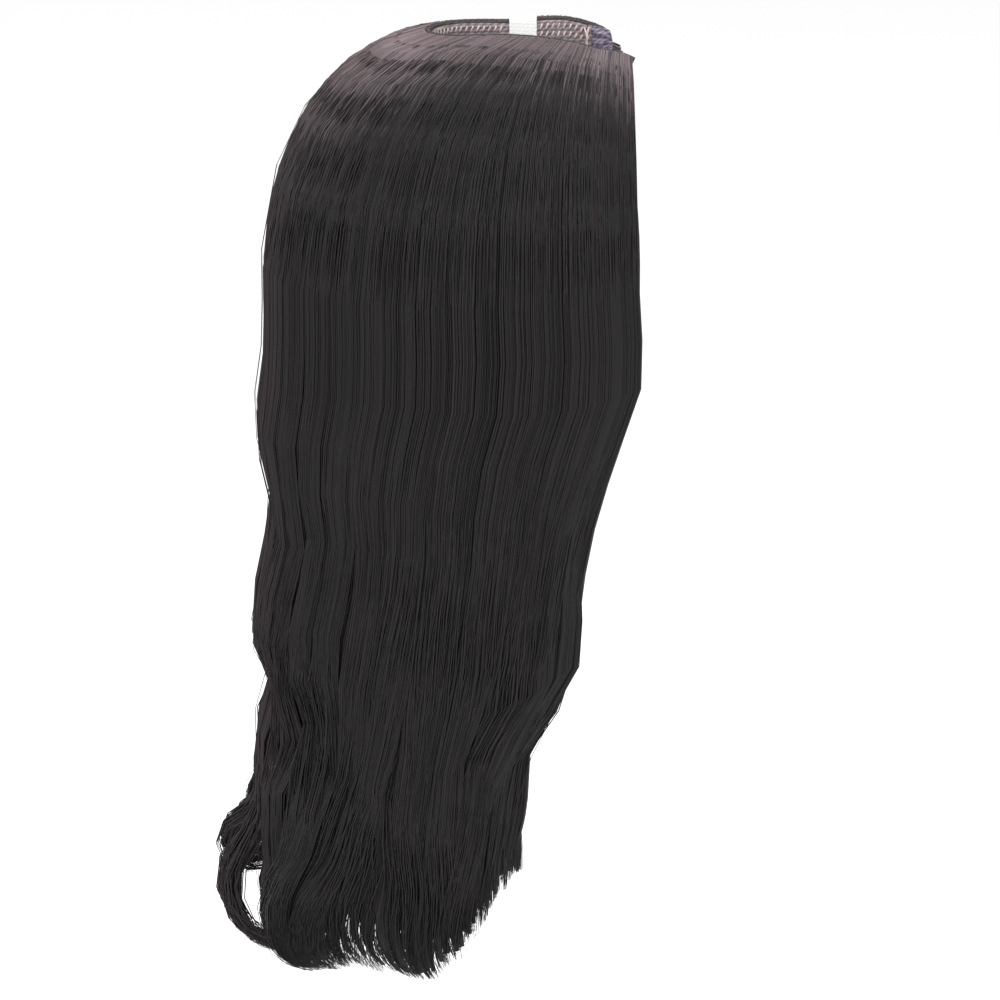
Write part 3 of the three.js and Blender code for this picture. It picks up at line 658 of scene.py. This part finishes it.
def hair_locks(name, side):
    """Flat tapering tubes, five to a lock of the hair, at slightly different depths."""
    share = (np.arange(LOCKS_A_HALF) + 0.5) / LOCKS_A_HALF
    h = side * (1 - share)
    count = len(h)
    even = np.ones(count)
    depth = chance.uniform(0.2, 0.5, count)
    start = chance.uniform(0.55, 0.8, count)
    tail = chance.uniform(0.86, 0.99, count)
    curl = chance.uniform(0.92, 1.05, count)
    paths, across, walked = falls(h, depth, start, tail, 0 * even, 0.25 * even, 1.6 * even, curl)
    along = np.linspace(0, 1, STATIONS)[None, :]
    width = LOCK_HALF_WIDTH * np.sqrt(np.clip(along / 0.15, 0.02, 1))
    width = width * (1 - 0.7 * smooth(along, 0.75, 1))
    piece = tubes(name, paths, across, width * even[:, None], LOCK_SIDES, 0.3)
    sides = np.arange(LOCK_SIDES) / LOCK_SIDES
    offset = chance.uniform(0, 5, count)[:, None, None]
    flow_u = np.broadcast_to(offset + 0.35 * np.abs(sides - 0.5), (count, STATIONS, LOCK_SIDES))
    flow_v = np.broadcast_to(walked[..., None] / 190, (count, STATIONS, LOCK_SIDES))
    set_map(piece, "flow", np.stack([flow_u, flow_v], -1).reshape(-1, 2))
    # The locks get no painted sheen at the roots.
    set_value(piece, "root", np.zeros(count * STATIONS * LOCK_SIDES))
    piece.data.materials.append(body_hair)


hair_locks("hair_locks_right", -1)
hair_locks("hair_locks_left", 1)
print("locks:", 2 * LOCKS_A_HALF)

# %% [markdown]
# Outermost come the strands, each a thin closed tube. Most start at the rim and some at the wefts lower down,
# as on the real wig. A few lie on the underside, so that the hair is also hair from within. Some finer ones
# wave more than the rest and stray off the outline.

# %% Strands
STRANDS_A_PIECE = 1290
STRAND_RADIUS = 0.34
SHARE_INSIDE = 0.14
SHARE_FROM_WEFTS = 0.3
LOOSE_HAIRS = 110


def strands(name, first, last, count, radius=STRAND_RADIUS, depth=None, wave=2.4, stray=0.0):
    """Thin tubes spread over a stretch of the cap, with a tone, a root value and a cell of the map each."""
    h = chance.uniform(first, last, count)
    inside = chance.random(count) < SHARE_INSIDE
    lie = np.where(inside, chance.uniform(0.0, 0.3, count), 0.96 - 0.1 * chance.random(count))
    depth = lie if depth is None else depth + chance.uniform(-0.05, 0.12, count)
    lower = chance.random(count) < SHARE_FROM_WEFTS
    start = np.where(lower, chance.integers(1, 6, count) * 0.13, chance.uniform(0, 0.015, count))
    tail = np.clip(1.03 - np.abs(chance.normal(0, 0.08 + stray, count)), 0.5, 1.03)
    clump = chance.uniform(0.0, 0.16, count)
    lock = chance.uniform(0.05, 0.5, count)
    wavy = wave * chance.uniform(0.7, 1.3, count)
    curl = chance.uniform(0.9, 1.08, count)
    paths, across, walked = falls(h, depth, start, tail, clump, lock, wavy, curl)
    along = np.linspace(0, 1, STATIONS)[None, :]
    taper = np.clip(0.5 + along / 0.06, 0, 1) * (1 - 0.7 * smooth(along, 0.75, 1))
    thick = radius * chance.uniform(0.75, 1.25, count)[:, None] * taper
    piece = tubes(name, paths, across, thick)
    # Tone differs at random from strand to strand. Towards the middle of the back it is raised, a painted
    # sheen along the back edge of the hair.
    tone = np.clip(chance.normal(0.4, 0.1, count) + 0.36 * smooth(1 - np.abs(h), 0.72, 1), 0, 1)
    set_value(piece, "tone", per_tube(tone, STATIONS, 3))
    # The root value is painted sheen near the rim, where the top light catches the crown, and it reaches
    # further down at the back.
    reach = (chance.uniform(14, 56, count) * (1 + smooth(1 - np.abs(h), 0.4, 0.8)))[:, None]
    from_rim = walked + 150 * start[:, None]
    root = (0.12 + 0.88 * chance.random(count) ** 0.8)[:, None] * np.clip(1 - from_rim / reach, 0, 1)
    set_value(piece, "root", np.broadcast_to(root[..., None], (count, STATIONS, 3)))
    set_map(piece, "OFBake", tube_map(count, STATIONS, 3))
    piece.data.materials.append(strand_hair)


strands("strands_right", -1.0, -0.5, STRANDS_A_PIECE)
strands("strands_back_right", -0.5, 0.0, STRANDS_A_PIECE)
strands("strands_back_left", 0.0, 0.5, STRANDS_A_PIECE)
strands("strands_left", 0.5, 1.0, STRANDS_A_PIECE)
strands("loose_hairs", -1.0, 1.0, LOOSE_HAIRS, radius=0.15, depth=0.95, wave=5.0, stray=0.1)
print("strands:", 4 * STRANDS_A_PIECE)

# %% [markdown]
# The cap is a net: two families of threads that cross on the slant. They are laid on the middle of the cap's
# wall, from the rim to the lower edge, and end where they meet a front edge.

# %% Net of the cap
NET_THREADS = 100
NET_LEAN = 1.27
NET_STEPS = 30
NET_RADIUS = 0.3


def net_family(lean):
    """Paths of one family: h grows by lean from rim to lower edge, and v runs only while h is on the cap."""
    low, high = min(0, -lean), max(0, -lean)
    at_rim = np.linspace(-1 + low + 0.02, 1 + high - 0.02, NET_THREADS)
    ends = np.stack([(-1 - at_rim) / lean, (1 - at_rim) / lean])
    first = np.clip(ends.min(axis=0), 0.02, 0.98)
    last = np.clip(ends.max(axis=0), first + 0.02, 1.0)
    v = first[:, None] + (last - first)[:, None] * np.linspace(0, 1, NET_STEPS)
    h = np.clip(at_rim[:, None] + lean * v, -1, 1)
    return h, v * cap_end(h)


families = [net_family(NET_LEAN), net_family(-NET_LEAN)]
net_h = np.concatenate([family[0] for family in families])
net_u = np.concatenate([family[1] for family in families])
net_paths = cap_point(net_h, net_u, CAP_WALL / 2)
net_across = cap_point(net_h, net_u, CAP_WALL) - net_paths
cap_net = tubes("cap_net_threads", net_paths, net_across, NET_RADIUS, 3, 1.0, ["cap_net"])
cap_net.data.materials.append(net_thread)
print("net of", len(net_h), "threads")

# %% [markdown]
# Round the opening the net is doubled with a strip of cloth, and a facing of the same cloth hangs inside the
# rim. That facing is what shows through the opening as the grey-lilac inside of the far side. A folded ribbon
# binds the rim.

# %% Rim of the opening
RIM_CLOTH_WIDTH = 15.0
BINDING_BELOW = 0.4
BINDING_ABOVE = 4.4
FACING_DEPTH = 10.5
FACING_REACH = 0.86
FACING_INSET = 0.35
FACING_BELOW = 1.6
HALF_BINDING = BINDING_WIDTH / 2


def ways_down(h):
    """The u reached after each way down the cap from the rim, by adding up short steps of its surface."""
    u = np.linspace(0, 1.6, 161)
    line = cap_point(np.asarray(h)[..., None], u, 0.0)
    steps = np.linalg.norm(np.diff(line, axis=-2), axis=-1)
    return u, np.concatenate([np.zeros(steps.shape[:-1] + (1,)), np.cumsum(steps, axis=-1)], axis=-1)


def u_after(h, way):
    """The u that lies the given way down the cap from the rim, for each h."""
    h, way = np.broadcast_arrays(np.asarray(h, float), way)
    u, walked = ways_down(h.ravel())
    found = [np.interp(one, reached, u) for one, reached in zip(way.ravel(), walked)]
    return np.array(found).reshape(h.shape)


def rim_top(h):
    """Height of the rim's top edge: the binding's own, and its further rise towards a front corner."""
    return dome_height(*rim_plan(h, RIM_HALF_WIDTH), 0) + BINDING_ABOVE + rim_rise(h)


rim_h = np.linspace(-1, 1, 161)[:, None]
rim_way = np.linspace(0.2, RIM_CLOTH_WIDTH, 6)[None, :]
rim_u = u_after(rim_h, rim_way)
outer = cap_point(rim_h, rim_u, 0.25)
inner = cap_point(rim_h, rim_u, 0.0)
rim_strip = wall("rim_cloth", outer, inner)
rim_strip.data.materials.append(rim_cloth)

bind_h = np.linspace(-1, 1, 260)
bind_x, bind_y = rim_plan(bind_h, OPENING_HALF_WIDTH + HALF_BINDING)
bind_low = dome_height(*rim_plan(bind_h, RIM_HALF_WIDTH), 0) - BINDING_BELOW
bind_tall = (rim_top(bind_h) - bind_low) / 2
bind_path = np.stack([bind_x, bind_y, bind_low + bind_tall], axis=-1)[None]
side_x, side_y = rim_plan(bind_h, OPENING_HALF_WIDTH)
bind_side = np.stack([bind_x - side_x, bind_y - side_y, 0 * bind_x], axis=-1)[None]
bind_flat = bind_tall / HALF_BINDING
hidden = ["opening_binding"]
binding = tubes("rim_binding", bind_path, bind_side, HALF_BINDING, 16, bind_flat, hidden)
binding.data.materials.append(dark_ribbon)


def facing_point(h, down, inward):
    """Place on the strip that hangs inside the rim, so far down from its top and in from its own face."""
    h, down, inward = np.broadcast_arrays(np.asarray(h, float), down, inward)
    x, y = rim_plan(h, OPENING_HALF_WIDTH - FACING_INSET + 0.1 * np.clip(down - 8, 0, None) - inward)
    return np.stack([x, y, rim_top(h) - FACING_BELOW - down], axis=-1)


face_h = np.linspace(-FACING_REACH, FACING_REACH, 220)[:, None]
face_down = np.linspace(0, FACING_DEPTH, 7)[None, :]
ripple = 0.12 * np.sin(face_h * 47) * face_down / FACING_DEPTH
face_back = facing_point(face_h, face_down, ripple)
facing = wall("rim_facing", face_back, facing_point(face_h, face_down, 0.2 + ripple))
facing.data.materials.append(rim_cloth)
print("rim bound over", round(float(np.linalg.norm(np.diff(bind_path[0], axis=0), axis=-1).sum())), "mm")

# %% [markdown]
# Inside, five narrow tapes carry the wefts, each sewn down with slanting stitches. Two more rows of stitches
# show on the facing. Flat elastic runs along both front edges and the lower edge to hold the cap on.

# %% Wefts and elastic
TRACKS = 5
TRACK_WIDTH = 3.4
TRACK_THICKNESS = 1.0
FIRST_TRACK = 9.0
TRACK_PITCH = 13.0
STITCH_PITCH = 3.0
STITCH_RADIUS = 0.42
STITCH_FLAT = 0.7
BAND_WIDTH = 9.0
BAND_THICKNESS = 1.2


def stitches(name, h, way, length, lean, under):
    """Slanting stitches inside the cap along a line: each rises from the cloth and goes back into it."""
    share = np.linspace(0, 1, 5)[None, :]
    at = h[:, None] + lean * (share - 0.5)
    u = u_after(at, way + length * (share - 0.5))
    rise = -(under + 0.35 * np.sin(np.pi * share))
    paths = cap_point(at, u, rise)
    sideways = cap_point(at + 0.01, u, rise) - cap_point(at - 0.01, u, rise)
    piece = tubes(name, paths, sideways, STITCH_RADIUS, 4, STITCH_FLAT)
    piece.data.materials.append(tan_thread)


def even_places(u, reach):
    """Places h from -reach to reach that lie a stitch apart on the cap at u."""
    h = np.linspace(-reach, reach, 400)
    line = cap_point(h, u, 0.0)
    walked = np.concatenate([[0], np.cumsum(np.linalg.norm(np.diff(line, axis=0), axis=-1))])
    return np.interp(np.arange(STITCH_PITCH / 2, walked[-1], STITCH_PITCH), walked, h)


UNDER_LABEL = 0.55
track_reach = 1 - 1.5 / LOCKS
for row in range(TRACKS):
    way = FIRST_TRACK + row * TRACK_PITCH
    h = np.linspace(-track_reach, track_reach, 200)[:, None]
    u = u_after(h, way) + np.linspace(0, TRACK_WIDTH / HEAD_RISE, 4)[None, :]
    outer = cap_point(h, u, -SEWN_GAP)
    inner = cap_point(h, u, -SEWN_GAP - TRACK_THICKNESS)
    tape = wall(f"weft_tape_{row + 1}", outer, inner, [f"weft_track_{row + 1}"])
    tape.data.materials.append(weft_tape)
    middle = way + TRACK_WIDTH / 2
    places = even_places(float(u_after(0.5, middle)), track_reach)
    stitches(f"weft_stitches_{row + 1}", places, middle, 2.8, 0.012, SEWN_GAP + TRACK_THICKNESS)
for row, down in ((1, 2.6), (2, 6.2)):
    share = np.linspace(0, 1, 5)[None, :]
    at = np.arange(-FACING_REACH + 0.01, FACING_REACH - 0.01, 0.026)
    at = at[np.abs(at - UNDER_LABEL) > 0.075][:, None] + 0.011 * (share - 0.5)
    paths = facing_point(at, down + 2.5 * (0.5 - share), 0.25 + 0.4 * np.sin(np.pi * share))
    sideways = facing_point(at + 0.01, down, 0.0) - facing_point(at - 0.01, down, 0.0)
    stitching = tubes(f"facing_stitches_{row}", paths, sideways, STITCH_RADIUS, 4, STITCH_FLAT)
    stitching.data.materials.append(tan_thread)
print("wefts:", TRACKS, "and 2 rows of stitches on the facing")


def elastic(name, outer, inner, replaced):
    """Flat elastic, a wall with fine cords along it."""
    band = wall(name, outer, inner, replaced)
    band.data.materials.append(dark_elastic)


nape_h = np.linspace(-1, 1, 130)[:, None]
nape_u = cap_end(nape_h) - np.linspace(BAND_WIDTH / HEAD_RISE, 0, 19)[None, :]
cords = 0.12 * np.cos(np.linspace(0, 18 * np.pi, 19))[None, :]
nape_in = cap_point(nape_h, nape_u, -SEWN_GAP - BAND_THICKNESS + 0.12 + cords)
elastic("nape_elastic", cap_point(nape_h, nape_u, -SEWN_GAP), nape_in, ["nape_band"])
for side, word in ((-1, "right"), (1, "left")):
    first = float(u_after(side * 1.0, 11.6))
    u = np.linspace(first, float(cap_end(side)) - (BAND_WIDTH + 0.4) / HEAD_RISE, 60)[:, None]
    edge = cap_point(side, u, 0.0)
    inward = cap_point(side * (1 - 1 / LOCKS), u, 0.0)
    apart = np.linalg.norm(edge - inward, axis=-1)
    wide = BAND_WIDTH * np.linspace(0, 1, 19)[None, :]
    across = side * (1 - wide / np.maximum(BAND_WIDTH, apart) / LOCKS)
    inner = cap_point(across, u, -SEWN_GAP - BAND_THICKNESS + 0.12 + cords)
    elastic(f"front_elastic_{word}", cap_point(across, u, -SEWN_GAP), inner, [f"front_band_{word}"])
print("elastic: 3 bands")

# %% [markdown]
# At each front corner the net is drawn up into a small gathered lump, and the end of the facing into a bunch
# with a thread round it. A plain satin label is folded over the left side of the rim. What is on the left
# shows through the opening.

# %% Gathered corners and blank label
FOLD_LENGTH = 12.0
FOLD_DROP = 11.0
FOLD_DEPTH = 4.5


def gathered_corner(side, word):
    """Puckered cloth: a cushion of the fold's depth, creased by rays that meet at the front corner."""
    a = np.linspace(0, 1, 32)[:, None]
    b = np.linspace(0, 1, 32)[None, :]
    longest = FOLD_LENGTH / (OPENING_BACK_Y - OPENING_FRONT_Y)
    deepest = float(u_after(side * 1.0, FOLD_DROP))
    h = side * (1 - (0.015 + (longest - 0.015) * a))
    u = 0.015 + (deepest - 0.015) * b
    swell = np.sin(np.pi * (0.07 + 0.86 * a)) * np.sin(np.pi * (0.07 + 0.86 * b))
    ray = np.arctan2(b + 0.05, a + 0.05)
    crease = 0.5 + 0.5 * np.cos(17 * ray + 2.2 * np.sin(5 * a + 2 * b))
    depth = FOLD_DEPTH * (0.25 + 0.75 * swell) * (0.68 + 0.32 * crease)
    outer = cap_point(h, u, -SEWN_GAP)
    inner = cap_point(h, u, -SEWN_GAP - depth)
    lump = wall(f"gathered_corner_{word}", outer, inner, [f"corner_fold_{word}"])
    lump.data.materials.append(gathered_cloth)


def gathered_end(side, word, above):
    """Puckered bunch at the front end of the facing: creases that spread from the thread round its waist."""
    a = np.linspace(0, 1, 32)[:, None]
    b = np.linspace(0, 1, 40)[None, :]
    near = 0.055 + 0.1 * (a - 0.12 * np.sin(np.pi * b))
    h = side * (1 - near)
    swell = np.sin(np.pi * (0.05 + 0.9 * a)) ** 0.6 * np.sin(np.pi * (0.05 + 0.9 * b)) ** 0.6
    crease = 0.5 + 0.5 * np.cos(19 * np.arctan2(b - 0.5, a + 0.35) + 1.6 * np.sin(5 * a + 1))
    depth = 3.6 * swell * (0.5 + 0.5 * crease)
    x, y = rim_plan(h, OPENING_HALF_WIDTH + 0.6)
    edge = side * (np.abs(x) - depth)
    top = rim_top(side * 0.9) + above - 2.5 * (1 - a) ** 2
    z = top - (above + 12.0) * b
    back_x, y, z = np.broadcast_arrays(x, y, z)
    back = np.stack([back_x, y, z], axis=-1)
    bunch = wall(f"gathered_end_{word}", back, np.stack([edge, y, z], axis=-1))
    bunch.data.materials.append(gathered_cloth)
    share = np.linspace(0, 1, 24)[None, :]
    loops = []
    for shift, wide in ((0.0, 0.012), (0.022, -0.01)):
        loop_h = side * (1 - 0.152 - shift - wide * np.sin(np.pi * share))
        loop_x, loop_y = rim_plan(loop_h, OPENING_HALF_WIDTH - 1.2 - 1.2 * np.sin(np.pi * share))
        loops.append(np.stack([loop_x, loop_y, rim_top(side * 0.87) - 1.2 - 10.5 * share], axis=-1)[0])
    loops = np.stack(loops)
    forward = np.array([0.0, 1.0, 0.0]) + 0 * loops
    thread = tubes(f"gathering_thread_{word}", loops, forward, 0.4, 5)
    thread.data.materials.append(tan_thread)


gathered_corner(-1, "right")
gathered_corner(1, "left")
gathered_end(-1, "right", -0.6)
gathered_end(1, "left", 0.7)

LABEL_FRONT_Y = -64.0
LABEL_WIDTH = 12.6
LABEL_DROP = 10.0
LABEL_OVER = 1.5
LABEL_THICKNESS = 0.8
label_y = np.linspace(LABEL_FRONT_Y, LABEL_FRONT_Y + LABEL_WIDTH, 20)[:, None]
turn = np.linspace(0, 1, 44)[None, :]
label_seat = dome_height(RIM_HALF_WIDTH, label_y, 0)
label_rise = rim_top(1 - (label_y - OPENING_FRONT_Y) / RIM_RUN) - label_seat + SEWN_GAP - HALF_BINDING
way = turn * (LABEL_DROP + label_rise + HALF_BINDING * np.pi / 2 + LABEL_OVER)


def label_face(grow):
    """Profile of the folded strip: up inside the rim, round a small arc, and out over the binding."""
    corner = HALF_BINDING + grow
    straight = LABEL_DROP + label_rise
    bend = np.clip((way - straight) / HALF_BINDING, 0, np.pi / 2)
    x = OPENING_HALF_WIDTH - SEWN_GAP - grow + corner * (1 - np.cos(bend))
    x = x + np.clip(way - (straight + HALF_BINDING * np.pi / 2), 0, LABEL_OVER)
    z = np.minimum(way, straight) - LABEL_DROP + corner * np.sin(bend)
    ripple = 0.12 * np.sin(label_y * 0.9) * smooth(-z, 2, 10)
    x, y, z = np.broadcast_arrays(x - ripple, label_y, z + label_seat)
    return np.stack([x, y, z], axis=-1)


label = wall("satin_label", label_face(LABEL_THICKNESS), label_face(0.0), ["blank_label"])
label.data.materials.append(white_satin)
print("label:", LABEL_WIDTH, "mm wide and blank")

# %% [markdown]
# The camera stands where the photographer's stood, to the wig's right and a little above, with a long lens.
# Broad soft lights from above, in front and behind give dark hair its grey sheen. The floor is plain.

# %% Camera, lights and floor
AIM = np.array([0.6, -45.6, -221.0]) * MM
AWAY = 1.6
BACK = np.array([-0.9345, 0.0982, 0.3420])


def look(thing, place, aim):
    """Puts a camera or lamp at a place and turns it towards the point it looks at."""
    thing.location = [float(value) for value in place]
    direction = Vector([float(value) for value in aim - np.asarray(place)])
    thing.rotation_euler = direction.to_track_quat("-Z", "Y").to_euler()


camera = bpy.data.objects.new("camera", bpy.data.cameras.new("camera"))
bpy.context.scene.collection.objects.link(camera)
camera.data.sensor_width = 36
camera.data.lens = 120
camera.data.clip_end = 60
look(camera, AIM + AWAY * BACK, AIM)
bpy.context.scene.camera = camera


def soft_light(name, place, size, power):
    """A square area light that shines at the wig."""
    lamp = bpy.data.lights.new(name, "AREA")
    lamp.size = size
    lamp.energy = power
    thing = bpy.data.objects.new(name, lamp)
    bpy.context.scene.collection.objects.link(thing)
    look(thing, np.array(place), AIM)


soft_light("top_light", (-0.4, -0.2, 1.9), 1.4, 30)
soft_light("front_light", (-1.7, -1.6, 0.6), 1.6, 12)
soft_light("back_light", (-0.9, 1.9, 0.8), 1.4, 34)
world = bpy.data.worlds.new("studio")
bpy.context.scene.world = world
world.use_nodes = True
world.node_tree.nodes["Background"].inputs["Color"].default_value = (1, 1, 1, 1)
world.node_tree.nodes["Background"].inputs["Strength"].default_value = 1.05
bpy.context.scene.view_settings.view_transform = "Standard"

FLOOR_REACH = 9.0
FLOOR_Z = -0.75
corners = FLOOR_REACH * np.array([[-1, -1], [1, -1], [1, 1], [-1, 1]])
floor_mesh = bpy.data.meshes.new("floor")
floor_mesh.from_pydata([(x, y, FLOOR_Z) for x, y in corners], [], [(0, 1, 2, 3)])
floor = bpy.data.objects.new("floor", floor_mesh)
bpy.context.scene.collection.objects.link(floor)
floor_finish, floor_shader, floor_add, floor_links = new_finish("floor_paint")
floor_noise = floor_add("ShaderNodeTexNoise", {"Scale": 3.0, "Detail": 2.0}).outputs["Fac"]
floor_tone = ramp(floor_add, floor_noise, (0.2, (0.86, 0.86, 0.86, 1)), (0.8, (0.9, 0.9, 0.9, 1)))
floor_links.new(floor_tone, floor_shader.inputs["Base Color"])
floor_shader.inputs["Roughness"].default_value = 0.9
floor_mesh.materials.append(floor_finish)
print("camera", AWAY, "m away with a", camera.data.lens, "mm lens")

# %% [markdown]
# The triangles of the pieces that show, in all and in the largest one.

# %% Triangle counts
added = [thing for thing in bpy.data.objects if thing.type == "MESH" and not thing.hide_render]
counts = {thing.name: sum(len(face.vertices) - 2 for face in thing.data.polygons) for thing in added}
print("triangles:", sum(counts.values()), "and the most in one piece:", max(counts.values()))
